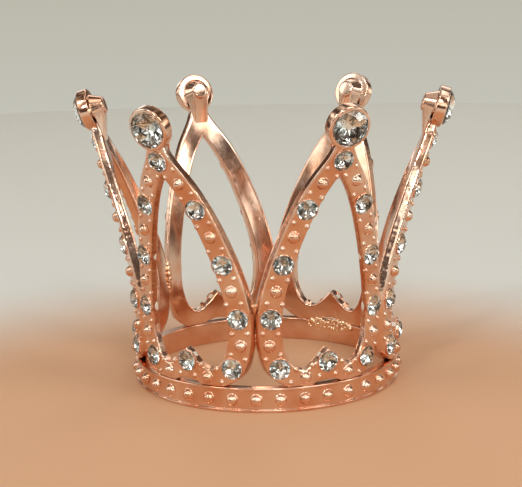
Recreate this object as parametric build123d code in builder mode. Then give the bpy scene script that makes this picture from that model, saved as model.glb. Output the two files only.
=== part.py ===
from build123d import *
from math import asin, cos, degrees, radians, sin, sqrt
import os

# A miniature crown: a beaded band, six open teardrop petals set with stones, and a round cup with a
# large stone on each petal's tip. Millimetres, +Z up, origin on the band's axis at its foot.
# Turns are in degrees from +X. "Across" is the distance from a petal's own middle plane.

# Band
band_diameter = 47.0  # over the rims
band_height = 4.2
band_wall = 1.8  # from the rims to the bore
rim_height = 0.45
rim_proud = 0.25  # the rims stand this far out of the dished face
band_bead_count = 36
band_bead_diameter = 1.95
seam_turn = 60.0  # where the ring closes, under the middle of a petal
seam_gap = 0.3
slot_margin = 1.0  # the seam's cutter runs this far past the ring
seam_patch_turn = 30.0  # the solder spreads this far round the bore
seam_patch_below = 2.3  # and this far below and above the band's top edge
seam_patch_above = 1.0
seam_patch_depth = 0.5

# Petals
petal_count = 6
petal_setback = 0.1  # from the rims in to the petals' faces
tip_height = 47.4  # the middle of the large stones
flare_start = 6.0  # the petals stand straight up to this height
flare_radius = 113.0
groove_half_width = 0.45  # each petal stops this far short of the line between neighbours
pit_wall = 0.15  # the least metal beside a stone's pit
neck_width = 3.1
neck_overlap = 1.6  # the neck runs this far up behind the cup's rim
foot_land = 6.6  # the petal's foot meets the band between these two distances across
slot_half_width = 2.7
slot_rise = 0.75
cusp_slope = (0.75, -0.65)  # the opening's edge leaves the point at its lower middle this way
cusp_wall = 0.07  # the least metal between that edge and the stone under the point
hollow_across = 4.4  # the opening's lowest places
hollow_trim = 0.35  # the metal over the dip is this much short of half a strip
corner_rise = 3.2  # the stone in each lower corner
corner_turn = 39.7  # how far below level the petal is round past that stone
foot_slope = (-0.95, -0.3)  # the outer edge comes down to the band this way
foot_metal = 1.425  # between the slot and the pit of the stone over it
arm_ends = ((0, -1), (-0.2, -1))  # which way the strip's middle runs at the neck and at the corner
trim_ends = ((0.8, -0.6), (-0.8, 0.6))  # and the line of stones at the crest and over the slot
dip_rise = 1.45  # the strip's middle below each hollow, above the band
foot_bead_across = 3.89
foot_bead_rise = 1.366  # the bead that stands there, above the band
bead_diameter = 1.95
seed_diameter = 0.85  # the small beads that stand in pairs
seed_share = 0.27  # their places between one stone and the next, from either
seed_gap = 0.05  # the least gap between a small bead and a stone
seed_outer_inset = 0.8  # from the strip's outer edge in to a small bead's middle
seed_inner_inset = 0.5
bead_sink = 0.1  # a bead's middle lies this far under the face

# Small stones
stone_diameter = 3.4
stone_table = 1.9
stone_crown = 0.62
stone_girdle = 0.14
stone_pavilion = 1.2
stone_culet = 0.5
girdle_lift = 0.07  # the girdle clears the face by this much
pit_ledge = 0.05  # the girdle laps over the pit's edge
glue_floor = 0.1  # glue under the culet

# Cups and large stones
cup_rim = 0.6  # metal round the large stone
cup_thickness = 1.9
cup_proud = 0.35  # the cup's front stands this far out of the petal's face
cup_lean = 17.0
cup_edge = 0.3  # the rounding of its edges
boss_length = 2.3  # a tapered boss behind the cup, which runs down the petal's back as a keel
boss_base_width = 5.0
boss_end_width = 2.8
boss_edge = 0.6
keel_length = 6.6
crest_gap = 0.05  # between the cup and the small stone under it
large_stone_diameter = 6.0
large_stone_table = 3.4
large_stone_crown = 1.0
large_stone_girdle = 0.2
large_stone_pavilion = 1.9
large_stone_culet = 1.0
large_glue_gap = 0.12

# Solder between neighbouring petals
joint_width = 1.5
joint_depth = 0.6
joint_from = 11.5
joint_to = 18.5

# Derived sizes
band_radius = band_diameter / 2
bore_radius = band_radius - band_wall
face_radius = band_radius - petal_setback
petal_thickness = face_radius - bore_radius  # flush with the bore inside
pit_radius = stone_diameter / 2 - pit_ledge
strip_half = pit_radius + pit_wall
half_sector = 180 / petal_count
petal_half_width = band_radius * sin(radians(half_sector)) - groove_half_width
line_half_width = petal_half_width - strip_half  # the widest place of a strip's centre line
tip_rise = tip_height - band_height
hollow_rise = dip_rise + strip_half - hollow_trim
foot_stone_rise = slot_rise + foot_metal + pit_radius
cusp_rise = foot_stone_rise + (pit_radius + cusp_wall) * sqrt(1 + (cusp_slope[1] / cusp_slope[0]) ** 2)
cup_diameter = large_stone_diameter + 2 * cup_rim
cup_radius = cup_diameter / 2
neck_top = tip_height - cup_radius + neck_overlap
beyond_wall = cup_diameter  # cutters run this far past the petals' faces

# The strip's centre line on one side: shares of its widest place and of the tip's rise.
arm_shares = ((0.33, 0.79), (0.535, 0.697), (0.845, 0.484), (1.0, 0.271), (0.965, 0.157))
seat_shares = arm_shares[1:4]  # three stones sit on it
corner_share = 0.855
rail_steps = 8


def meridian(turn):
    """The upright plane through the axis at a turn: its X is the radius and its Y the height."""
    angle = radians(turn)
    return Plane(origin=(0, 0, 0), x_dir=(cos(angle), sin(angle), 0), z_dir=(sin(angle), -cos(angle), 0))


def lean(height):
    """How far the petal's face leans out of upright at a height."""
    return degrees(asin(max(0.0, height - flare_start) / flare_radius))


def radius_at(height):
    """The radius of the petal's face at a height."""
    rise = max(0.0, height - flare_start)
    return face_radius + flare_radius - sqrt(flare_radius**2 - rise**2)


def on_face(across, height):
    """A plane on the petal's face whose Z points straight out of the metal."""
    radius = radius_at(height)
    turn = degrees(asin(across / radius))
    tilt = radians(lean(height))
    origin = Vector(radius, 0, height).rotate(Axis.Z, turn)
    outward = Vector(cos(tilt), 0, -sin(tilt)).rotate(Axis.Z, turn)
    return Plane(origin=origin, x_dir=Vector(0, 1, 0).rotate(Axis.Z, turn), z_dir=outward)


def wall_profile(turn, above):
    """The petals' wall in section, from its back out to a distance above its face."""
    sweep = degrees(asin((tip_height + cup_diameter - flare_start) / flare_radius))
    with BuildSketch(meridian(turn)) as profile:
        with BuildLine():
            back = Line((bore_radius, band_height), (bore_radius, flare_start))
            back_flare = JernArc(back @ 1, (0, 1), flare_radius + petal_thickness, -sweep)
            front = Line((face_radius + above, band_height), (face_radius + above, flare_start))
            front_flare = JernArc(front @ 1, (0, 1), flare_radius - above, -sweep)
            Line(back_flare @ 1, front_flare @ 1)
            Line(back @ 0, front @ 0)
        make_face()
    return profile.sketch


def chaton(diameter, table, crown, girdle, pavilion, culet):
    """A round cut stone on the XY plane: its pavilion goes below and its table faces +Z."""
    girdle_top = girdle_lift + girdle
    with BuildPart() as stone:
        with BuildSketch(Plane.XZ):
            with BuildLine():
                Polyline(
                    (0, -pavilion),
                    (culet / 2, -pavilion),
                    (diameter / 2, girdle_lift),
                    (diameter / 2, girdle_top),
                    (table / 2, girdle_top + crown),
                    (0, girdle_top + crown),
                    close=True,
                )
            make_face()
        revolve(axis=Axis.Z)
    return stone.part


# Where the strip runs, and what stands on it
widest = line_half_width
with BuildLine() as arm_line:
    arm_points = [(widest * x, band_height + tip_rise * y) for x, y in arm_shares]
    arm = Spline((neck_width / 2 - strip_half, neck_top), *arm_points, tangents=arm_ends)

seat_points = [(widest * x, band_height + tip_rise * y) for x, y in seat_shares]
crest = (0, tip_height - cup_radius - crest_gap - stone_diameter / 2)  # the stone where both sides meet
corner = (widest * corner_share, band_height + corner_rise)
foot_middle = (0, band_height + foot_stone_rise)
with BuildLine() as trim_line:
    stops = [crest, *seat_points, corner, foot_middle]
    run = Spline(
        crest,
        arm_points[0],
        *seat_points,
        corner,
        (hollow_across, band_height + dip_rise),
        foot_middle,
        tangents=trim_ends,
    )

stone_seats = [on_face(*crest), on_face(*foot_middle)]
bead_seats, seed_seats = [], []
for side in (1, -1):
    stone_seats += [on_face(side * x, y) for x, y in (*seat_points, corner)]
    marks = [run.param_at_point(Vector(*stop)) for stop in stops]
    middles = [run @ ((start + end) / 2) for start, end in zip(marks, marks[1:])]
    middles[-1] = Vector(foot_bead_across, band_height + foot_bead_rise)
    bead_seats += [on_face(side * middle.X, middle.Y) for middle in middles]
    for start, end in zip(marks, marks[1:]):
        span = (run @ end - run @ start).length
        share_clear = max(seed_share, ((stone_diameter + seed_diameter) / 2 + seed_gap) / span)
        for share in (share_clear, 1 - share_clear):
            where = start + share * (end - start)
            point, heading = run @ where, run % where
            for edge in (strip_half - seed_outer_inset, seed_inner_inset - strip_half):
                across, height = point.X - edge * heading.Y, point.Y + edge * heading.X
                seed_seats.append(on_face(side * across, height))

# Tip setting: a flat cup with a tapered boss behind it, which runs down the petal's back as a keel
tip_radius = radius_at(tip_height)
tilt = radians(cup_lean)
tip_out = Vector(cos(tilt), 0, -sin(tilt))
tip_point = Vector(tip_radius, 0, tip_height)
tip_section = Plane(origin=tip_point, x_dir=tip_out, z_dir=(0, -1, 0))  # its X points out of the cup
tip_seat = Plane(origin=tip_point + tip_out * cup_proud, x_dir=(0, 1, 0), z_dir=tip_out)
tip_axis = Axis(tip_point, tip_out)
cup_back = cup_proud - cup_thickness
boss_end = cup_back - boss_length
large_pavilion_slope = (large_stone_diameter - large_stone_culet) / 2 / (large_stone_pavilion + girdle_lift)
large_pit_depth = large_stone_pavilion + large_glue_gap
large_pit_radius = large_stone_diameter / 2 - pit_ledge
large_pit_floor = large_pit_radius - large_pavilion_slope * large_stone_pavilion + large_glue_gap

boss_plane = Plane(origin=tip_point, x_dir=tip_out, z_dir=(sin(tilt), 0, cos(tilt)))
with BuildPart() as keel:
    with BuildSketch(boss_plane):
        with BuildLine():
            Polyline(
                (cup_proud, -boss_base_width / 2),
                (cup_back, -boss_base_width / 2),
                (boss_end, -boss_end_width / 2),
                (boss_end, boss_end_width / 2),
                (cup_back, boss_base_width / 2),
                (cup_proud, boss_base_width / 2),
                close=True,
            )
        across_boss = make_face()
        fillet(across_boss.vertices().sort_by(Axis.X)[:2], boss_edge)
    extrude(amount=keel_length, dir=(0, 0, -1))
    past_wall = wall_profile(-half_sector, beyond_wall)
    add(revolve(past_wall, Axis.Z, 2 * half_sector, mode=Mode.PRIVATE), mode=Mode.SUBTRACT)

with BuildPart() as large_pit:
    with BuildSketch(tip_section):
        with BuildLine():
            Polyline(
                (cup_proud, 0),
                (cup_proud, large_pit_radius),
                (cup_proud - large_pit_depth, large_pit_floor),
                (cup_proud - large_pit_depth, 0),
                close=True,
            )
        make_face()
    revolve(axis=tip_axis)

with BuildPart() as tip_setting:
    with BuildSketch(tip_section):
        with BuildLine():
            Polyline(
                (cup_proud, 0),
                (cup_proud, cup_radius),
                (cup_back, cup_radius),
                (cup_back, boss_base_width / 2),
                (boss_end, boss_end_width / 2),
                (boss_end, 0),
                close=True,
            )
        section = make_face()
        fillet(section.vertices().sort_by(Axis.Z)[-2:], cup_edge)
        fillet(section.vertices().sort_by(Axis.X)[:2].sort_by(Axis.Z)[-1:], boss_edge)
    revolve(axis=tip_axis)
    add(keel.part)
    add(large_pit.part, mode=Mode.SUBTRACT)

# Petal: a flared wall cut to its teardrop outline, with beads and stone pits
with BuildPart() as petal_wall:
    add(wall_profile(-half_sector, 0))
    revolve(axis=Axis.Z, revolution_arc=2 * half_sector)

with BuildPart() as petal:
    add(petal_wall.part)
    with BuildSketch(Plane.YZ):
        with BuildLine():
            stations = [step / rail_steps for step in range(rail_steps + 1)]
            rails = []
            for edge in (strip_half, -strip_half):
                points = [(arm @ t).add(Vector(-(arm % t).Y, (arm % t).X) * edge) for t in stations]
                rails.append(Spline(*points))
            outer, inner = rails
            Line(outer @ 0, inner @ 0)
            Line(outer @ 1, inner @ 1)
        make_face()
        with BuildLine():
            lobe_out = Vector(cos(radians(corner_turn)), -sin(radians(corner_turn)))
            lobe_side = Vector(*corner) + lobe_out * strip_half
            land = (foot_land, band_height)
            hollow = (hollow_across, band_height + hollow_rise)
            cusp = (0, band_height + cusp_rise)
            upper = Spline(outer @ 1, lobe_side, tangents=(outer % 1, (lobe_out.Y, -lobe_out.X)))
            Spline(lobe_side, land, tangents=(upper % 1, foot_slope))
            Polyline(land, (0, band_height), cusp)
            Spline(cusp, hollow, tangents=(cusp_slope, (1, 0)))
            Spline(hollow, inner @ 1, tangents=((1, 0), (inner % 1) * -1))
            Line(inner @ 1, outer @ 1)
        make_face()
        mirror(about=Plane.YZ)
        with BuildLine():
            slot_end = (slot_half_width, band_height)
            ThreePointArc((-slot_half_width, band_height), (0, band_height + slot_rise), slot_end)
            Line(slot_end, (-slot_half_width, band_height))
        make_face(mode=Mode.SUBTRACT)
    extrude(amount=tip_radius + beyond_wall, mode=Mode.INTERSECT)
    with Locations(*[seat.offset(-bead_sink) for seat in bead_seats]):
        Sphere(bead_diameter / 2)
    with Locations(*[seat.offset(-bead_sink) for seat in seed_seats]):
        Sphere(seed_diameter / 2)
    with Locations(*stone_seats):
        Cylinder(pit_radius, 2 * (stone_pavilion + glue_floor), mode=Mode.SUBTRACT)
    add(tip_setting.part, mode=Mode.SUBTRACT)
    add(large_pit.part, mode=Mode.SUBTRACT)

# Small stones and the glue under them
small_stone = chaton(
    stone_diameter, stone_table, stone_crown, stone_girdle, stone_pavilion, stone_culet
)
with BuildPart() as glue_dab:
    with Locations((0, 0, -(stone_pavilion + glue_floor) / 2)):
        Cylinder(pit_radius, stone_pavilion + glue_floor)
    add(small_stone, mode=Mode.SUBTRACT)

with BuildPart() as small_stones:
    with Locations(*stone_seats):
        add(small_stone)

with BuildPart() as stone_glue:
    with Locations(*stone_seats):
        add(glue_dab.part)

# Large stone and its glue
with BuildPart() as large_stone:
    with Locations(tip_seat):
        add(
            chaton(
                large_stone_diameter,
                large_stone_table,
                large_stone_crown,
                large_stone_girdle,
                large_stone_pavilion,
                large_stone_culet,
            )
        )

with BuildPart() as large_glue:
    add(large_pit.part)
    add(large_stone.part, mode=Mode.SUBTRACT)

# Solder where two petals touch
with BuildPart() as joint:
    with BuildSketch(meridian(half_sector)):
        with BuildLine():
            low = (radius_at(joint_from) - petal_thickness, joint_from)
            high = (radius_at(joint_to) - petal_thickness, joint_to)
            middle_height = (joint_from + joint_to) / 2
            deep = (radius_at(middle_height) - petal_thickness - joint_depth, middle_height)
            ThreePointArc(low, deep, high)
            half = petal_thickness / 2
            Polyline(low, (low[0] + half, joint_from), (high[0] + half, joint_to), high)
        make_face()
    extrude(amount=joint_width / 2, both=True)
    add(petal_wall.part, mode=Mode.SUBTRACT)
    add(petal_wall.part.rotate(Axis.Z, 2 * half_sector), mode=Mode.SUBTRACT)

# Band: a dished ring with beads, open at its seam
with BuildPart() as seam_slot:
    with BuildSketch(meridian(seam_turn)):
        with BuildLine():
            Polyline(
                (bore_radius - slot_margin, -slot_margin),
                (band_radius + slot_margin, -slot_margin),
                (band_radius + slot_margin, band_height + slot_margin),
                (bore_radius - slot_margin, band_height + slot_margin),
                close=True,
            )
        make_face()
    extrude(amount=seam_gap / 2, both=True)

with BuildPart() as band_ring:
    with BuildSketch(Plane.XZ):
        with BuildLine():
            Polyline(
                (bore_radius, 0),
                (band_radius, 0),
                (band_radius, rim_height),
                (band_radius - rim_proud, rim_height + rim_proud / 2),
                (band_radius - rim_proud, band_height - rim_height - rim_proud / 2),
                (band_radius, band_height - rim_height),
                (band_radius, band_height),
                (bore_radius, band_height),
                close=True,
            )
        make_face()
    revolve(axis=Axis.Z)

with BuildPart() as base_band:
    add(band_ring.part)
    with Locations((0, 0, band_height / 2)):
        with PolarLocations(band_radius - rim_proud - bead_sink, band_bead_count, start_angle=-90):
            Sphere(band_bead_diameter / 2)
    add(seam_slot.part, mode=Mode.SUBTRACT)

with BuildPart() as band_seam_solder:
    add(band_ring.part)
    add(seam_slot.part, mode=Mode.INTERSECT)
    with BuildSketch(meridian(seam_turn - seam_patch_turn / 2)):
        with BuildLine():
            patch_low = band_height - seam_patch_below
            patch_high = band_height + seam_patch_above
            patch_deep = (bore_radius - seam_patch_depth, (patch_low + patch_high) / 2)
            ThreePointArc((bore_radius, patch_low), patch_deep, (bore_radius, patch_high))
            Line((bore_radius, patch_high), (bore_radius, patch_low))
        make_face()
    revolve(axis=Axis.Z, revolution_arc=seam_patch_turn)


def write(shape, name):
    """Writes a piece's solids to parts/name.step."""
    shape.label = name
    export_step(shape, f"parts/{name}.step")


os.makedirs("parts", exist_ok=True)
write(base_band.part, "base_band")
write(band_seam_solder.part, "band_seam_solder")
each_petal = {
    "petal": petal.part,
    "tip_setting": tip_setting.part,
    "large_stone": large_stone.part,
    "small_stones": small_stones.part,
    "stone_glue": stone_glue.part,
}
for name, shape in each_petal.items():
    for number in range(petal_count):
        write(shape.rotate(Axis.Z, number * 2 * half_sector), f"{name}_{number + 1}")

with BuildPart() as tip_glue:
    with PolarLocations(0, petal_count):
        add(large_glue.part)
write(tip_glue.part, "tip_glue")

with BuildPart() as petal_solder:
    with PolarLocations(0, petal_count):
        add(joint.part)
write(petal_solder.part, "petal_solder")
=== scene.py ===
"""A miniature rose-gold crown: a beaded band, six open teardrop petals set with round cut stones, and a
cup with a large stone on each petal's tip.

Sizes are in millimetres in the same frame as the CAD (+Z up, the band's axis at the origin), and become
metres where a mesh is made. "Across" is the distance from a petal's own middle plane, "height" is
above the floor and "depth" is measured into the metal from a petal's face.
"""

import sys

import logging
import math
from dataclasses import dataclass, field
from enum import Enum

import bmesh
import bpy
import numpy as np
from mathutils import Matrix, Vector, noise


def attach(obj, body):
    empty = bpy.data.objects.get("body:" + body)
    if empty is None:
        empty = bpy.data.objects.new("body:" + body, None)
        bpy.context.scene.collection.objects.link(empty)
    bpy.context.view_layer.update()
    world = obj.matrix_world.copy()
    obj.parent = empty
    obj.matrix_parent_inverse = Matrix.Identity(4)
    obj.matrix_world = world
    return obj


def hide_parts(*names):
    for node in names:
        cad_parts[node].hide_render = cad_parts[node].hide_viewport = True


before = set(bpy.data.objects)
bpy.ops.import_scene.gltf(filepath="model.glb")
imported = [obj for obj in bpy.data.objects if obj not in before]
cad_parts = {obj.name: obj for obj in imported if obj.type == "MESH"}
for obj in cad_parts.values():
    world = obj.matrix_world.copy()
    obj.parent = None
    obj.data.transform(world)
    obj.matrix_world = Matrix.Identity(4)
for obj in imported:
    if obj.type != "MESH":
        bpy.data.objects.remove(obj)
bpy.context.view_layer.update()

MM = 0.001
log = logging.getLogger("crown")

Colour = tuple[float, float, float]


# ---------------------------------------------------------------- node groups and finishes


def add_node(
    tree: bpy.types.NodeTree, kind: str, inputs: dict[str, object] | None = None, **settings: object
) -> bpy.types.Node:
    """Adds a node and sets it up.

    Args:
        tree: The node tree that gets the node.
        kind: The node's type, without its "ShaderNode" prefix.
        inputs: Values or sockets for the node's inputs, by input name or number.
        **settings: The node's own properties.

    Returns:
        The new node.
    """
    node = tree.nodes.new(f"ShaderNode{kind}")
    for name, value in settings.items():
        setattr(node, name, value)
    for name, value in (inputs or {}).items():
        if isinstance(value, bpy.types.NodeSocket):
            tree.links.new(value, node.inputs[name])
        else:
            node.inputs[name].default_value = value
    return node


def opaque(colour: Colour) -> tuple[float, float, float, float]:
    """Returns the colour with full alpha."""
    return (*colour, 1.0)


def new_group(
    name: str, inputs: dict[str, tuple[str, object]], outputs: dict[str, str]
) -> tuple[bpy.types.NodeTree, bpy.types.Node, bpy.types.Node]:
    """Makes an empty shader node group with named sockets.

    Args:
        name: The group's name.
        inputs: Each input's socket type and default value, by name.
        outputs: Each output's socket type, by name.

    Returns:
        The group, its input node and its output node.
    """
    group = bpy.data.node_groups.new(name, "ShaderNodeTree")
    for label, (kind, default) in inputs.items():
        socket = group.interface.new_socket(label, in_out="INPUT", socket_type=f"NodeSocket{kind}")
        socket.default_value = default
    for label, kind in outputs.items():
        group.interface.new_socket(label, in_out="OUTPUT", socket_type=f"NodeSocket{kind}")
    return group, group.nodes.new("NodeGroupInput"), group.nodes.new("NodeGroupOutput")


def place_group(
    tree: bpy.types.NodeTree, group: bpy.types.NodeTree, inputs: dict[str, object]
) -> bpy.types.Node:
    """Places a node group in a material with its own values.

    Args:
        tree: The material's node tree.
        group: The group to place.
        inputs: Values for the group's inputs, by name.

    Returns:
        The placed group node.
    """
    placed = add_node(tree, "Group", node_tree=group)
    for name, value in inputs.items():
        placed.inputs[name].default_value = value
    return placed


def casting_group() -> bpy.types.NodeTree:
    """Builds the relief of a tumbled casting: slow waves, fine grain and scattered pinholes.

    Returns:
        A group whose output Height is in metres.
    """
    group, start, end = new_group(
        "casting_relief",
        {
            "Wave Scale": ("Float", 260.0),
            "Wave Height": ("Float", 0.00002),
            "Grain Scale": ("Float", 3500.0),
            "Grain Height": ("Float", 0.000001),
            "Pinhole Scale": ("Float", 420.0),
            "Pinhole Depth": ("Float", 0.00002),
        },
        {"Height": "Float"},
    )
    place = add_node(group, "TexCoord").outputs["Object"]
    wave = add_node(group, "TexNoise", {"Vector": place, "Scale": start.outputs["Wave Scale"], "Detail": 1.5})
    grain = add_node(
        group, "TexNoise", {"Vector": place, "Scale": start.outputs["Grain Scale"], "Detail": 3.0}
    )
    cell = add_node(group, "TexVoronoi", {"Vector": place, "Scale": start.outputs["Pinhole Scale"]})
    hole = add_node(group, "MapRange", {"Value": cell.outputs["Distance"], 1: 0.03, 2: 0.09, 3: -1.0, 4: 0.0})
    chance = add_node(group, "SeparateColor", {0: cell.outputs["Color"]})
    rare = add_node(group, "Math", {0: chance.outputs[0], 1: 0.82}, operation="GREATER_THAN")
    scattered = add_node(group, "Math", {0: hole.outputs[0], 1: rare.outputs[0]}, operation="MULTIPLY")
    waves = add_node(
        group, "Math", {0: wave.outputs[0], 1: start.outputs["Wave Height"]}, operation="MULTIPLY"
    )
    grains = add_node(
        group,
        "Math",
        {0: grain.outputs[0], 1: start.outputs["Grain Height"], 2: waves.outputs[0]},
        operation="MULTIPLY_ADD",
    )
    total = add_node(
        group,
        "Math",
        {0: scattered.outputs[0], 1: start.outputs["Pinhole Depth"], 2: grains.outputs[0]},
        operation="MULTIPLY_ADD",
    )
    group.links.new(total.outputs[0], end.inputs["Height"])
    return group


def plating_group() -> bpy.types.NodeTree:
    """Builds the plating's colour and polish: drifting tone, a painted highlight that pales convex edges,
    painted shade that darkens hollows, hairlines.

    Returns:
        A group with outputs Color and Roughness.
    """
    group, start, end = new_group(
        "plating_tone",
        {
            "Pale": ("Color", (0.95, 0.7, 0.58, 1.0)),
            "Copper": ("Color", (0.9, 0.5, 0.34, 1.0)),
            # painted shade: the colour that hollows are darkened towards
            "Painted Shade": ("Color", (0.45, 0.2, 0.13, 1.0)),
            "Drift Scale": ("Float", 180.0),
            "Polish": ("Float", 0.12),
            "Haze": ("Float", 0.1),
        },
        {"Color": "Color", "Roughness": "Float"},
    )
    place = add_node(group, "TexCoord").outputs["Object"]
    drift = add_node(
        group, "TexNoise", {"Vector": place, "Scale": start.outputs["Drift Scale"], "Detail": 3.0}
    )
    tone = add_node(group, "MapRange", {"Value": drift.outputs[0], 1: 0.35, 2: 0.68})
    plate = add_node(
        group,
        "Mix",
        {0: tone.outputs[0], 6: start.outputs["Copper"], 7: start.outputs["Pale"]},
        data_type="RGBA",
    )
    edge = add_node(group, "NewGeometry").outputs["Pointiness"]
    # painted highlight: convex edges, found by pointiness, are mixed towards the pale tone
    edge_highlight = add_node(group, "MapRange", {"Value": edge, 1: 0.53, 2: 0.62, 4: 0.7})
    edge_highlighted = add_node(
        group, "Mix", {0: edge_highlight.outputs[0], 6: plate.outputs[2], 7: start.outputs["Pale"]}, data_type="RGBA"
    )
    # painted shade: concave places, found by pointiness, are darkened towards the shade colour
    hollow = add_node(group, "MapRange", {"Value": edge, 1: 0.47, 2: 0.36, 4: 0.8})
    hollows_shaded = add_node(
        group, "Mix", {0: hollow.outputs[0], 6: edge_highlighted.outputs[2], 7: start.outputs["Painted Shade"]}, data_type="RGBA"
    )
    stretch = add_node(group, "Mapping", {"Vector": place, "Scale": (1.0, 1.0, 0.12)})
    hair = add_node(group, "TexNoise", {"Vector": stretch.outputs[0], "Scale": 4200.0, "Detail": 2.0})
    smear = add_node(group, "TexNoise", {"Vector": place, "Scale": 420.0, "Detail": 4.0})
    both = add_node(group, "Math", {0: hair.outputs[0], 1: smear.outputs[0]}, operation="MULTIPLY")
    haze = add_node(group, "MapRange", {"Value": both.outputs[0], 1: 0.12, 2: 0.4})
    rough = add_node(
        group,
        "Math",
        {0: haze.outputs[0], 1: start.outputs["Haze"], 2: start.outputs["Polish"]},
        operation="MULTIPLY_ADD",
    )
    group.links.new(hollows_shaded.outputs[2], end.inputs["Color"])
    group.links.new(rough.outputs[0], end.inputs["Roughness"])
    return group


@dataclass(frozen=True)
class RoseGold:
    """Rose-gold plating over a polished casting."""

    name: str
    pale: Colour = (0.88, 0.65, 0.52)
    copper: Colour = (0.76, 0.41, 0.26)
    # painted shade: the dark colour that hollows are mixed towards
    corner: Colour = (0.40, 0.16, 0.09)
    drift_scale: float = 170.0
    polish: float = 0.10
    haze: float = 0.10
    wave_scale: float = 230.0
    wave_height: float = 0.00005
    grain_scale: float = 3500.0
    grain_height: float = 0.0000012
    pinhole_depth: float = 0.00003

    def build(self, groups: dict[str, bpy.types.NodeTree]) -> bpy.types.Material:
        """Builds the material.

        Args:
            groups: The shared node groups, by name.

        Returns:
            The new material.
        """
        material, tree, shader = new_material(self.name)
        tone = place_group(
            tree,
            groups["plating"],
            {
                "Pale": opaque(self.pale),
                "Copper": opaque(self.copper),
                "Painted Shade": opaque(self.corner),
                "Drift Scale": self.drift_scale,
                "Polish": self.polish,
                "Haze": self.haze,
            },
        )
        relief = place_group(
            tree,
            groups["casting"],
            {
                "Wave Scale": self.wave_scale,
                "Wave Height": self.wave_height,
                "Grain Scale": self.grain_scale,
                "Grain Height": self.grain_height,
                "Pinhole Depth": self.pinhole_depth,
            },
        )
        bump = add_node(tree, "Bump", {"Strength": 1.0, "Distance": 1.0, "Height": relief.outputs["Height"]})
        tree.links.new(tone.outputs["Color"], shader.inputs["Base Color"])
        tree.links.new(tone.outputs["Roughness"], shader.inputs["Roughness"])
        tree.links.new(bump.outputs["Normal"], shader.inputs["Normal"])
        shader.inputs["Metallic"].default_value = 1.0
        return material


@dataclass(frozen=True)
class CutGlass:
    """Clear glass of a cut stone's crown and girdle."""

    name: str
    tint: Colour = (0.97, 0.98, 0.98)
    index: float = 1.56

    def build(self, groups: dict[str, bpy.types.NodeTree]) -> bpy.types.Material:
        """Builds the material, with faint polishing haze on its facets.

        Args:
            groups: The shared node groups, by name; not used.

        Returns:
            The new material.
        """
        material, tree, shader = new_material(self.name)
        place = add_node(tree, "TexCoord").outputs["Object"]
        film = add_node(tree, "TexNoise", {"Vector": place, "Scale": 900.0, "Detail": 2.0})
        haze = add_node(tree, "MapRange", {"Value": film.outputs[0], 3: 0.0, 4: 0.02})
        tree.links.new(haze.outputs[0], shader.inputs["Roughness"])
        shader.inputs["Base Color"].default_value = opaque(self.tint)
        shader.inputs["Metallic"].default_value = 0.0
        shader.inputs["IOR"].default_value = self.index
        shader.inputs["Transmission Weight"].default_value = 1.0
        return material


@dataclass(frozen=True)
class MirrorFoil:
    """The silver foil on the back of a stone, seen through the glass."""

    name: str
    bright: Colour = (0.96, 1.0, 1.0)
    # painted reflection: the dim tone of facets painted as if they caught no light
    painted_dark_facet: Colour = (0.27, 0.27, 0.25)
    painted_patchiness: float = 0.6  # the share of the soft painted patches beside the per-facet painted brightness
    roughness: float = 0.04

    def build(self, groups: dict[str, bpy.types.NodeTree]) -> bpy.types.Material:
        """Builds the material: a painted reflection that makes each facet bright or dim at random, dimmed
        more in soft painted patches.

        Args:
            groups: The shared node groups, by name; not used.

        Returns:
            The new material.
        """
        material, tree, shader = new_material(self.name)
        place = add_node(tree, "TexCoord").outputs["Object"]
        patch = add_node(tree, "TexNoise", {"Vector": place, "Scale": 1500.0, "Detail": 2.0})
        # painted reflection: each facet gets a random brightness, as if it caught or missed a light
        facet = add_node(tree, "NewGeometry").outputs["True Normal"]
        facet_flash_dice = add_node(tree, "TexWhiteNoise", {"Vector": facet}, noise_dimensions="3D")
        both = add_node(
            tree,
            "Math",
            {0: patch.outputs[0], 1: self.painted_patchiness, 2: facet_flash_dice.outputs["Value"]},
            operation="MULTIPLY_ADD",
        )
        painted_flash = add_node(tree, "MapRange", {"Value": both.outputs[0], 1: 0.45, 2: 0.85})
        shade = add_node(
            tree,
            "Mix",
            {0: painted_flash.outputs[0], 6: opaque(self.painted_dark_facet), 7: opaque(self.bright)},
            data_type="RGBA",
        )
        tree.links.new(shade.outputs[2], shader.inputs["Base Color"])
        shader.inputs["Metallic"].default_value = 1.0
        shader.inputs["Roughness"].default_value = self.roughness
        return material


@dataclass(frozen=True)
class SettingGlue:
    """The dab of clear-drying glue under a stone."""

    name: str
    body: Colour = (0.72, 0.66, 0.55)
    cloudy: Colour = (0.86, 0.82, 0.74)

    def build(self, groups: dict[str, bpy.types.NodeTree]) -> bpy.types.Material:
        """Builds the material.

        Args:
            groups: The shared node groups, by name; not used.

        Returns:
            The new material.
        """
        material, tree, shader = new_material(self.name)
        place = add_node(tree, "TexCoord").outputs["Object"]
        cloud = add_node(tree, "TexNoise", {"Vector": place, "Scale": 1200.0, "Detail": 3.0})
        shade = add_node(
            tree,
            "Mix",
            {0: cloud.outputs[0], 6: opaque(self.body), 7: opaque(self.cloudy)},
            data_type="RGBA",
        )
        tree.links.new(shade.outputs[2], shader.inputs["Base Color"])
        shader.inputs["Roughness"].default_value = 0.25
        return material


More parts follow.
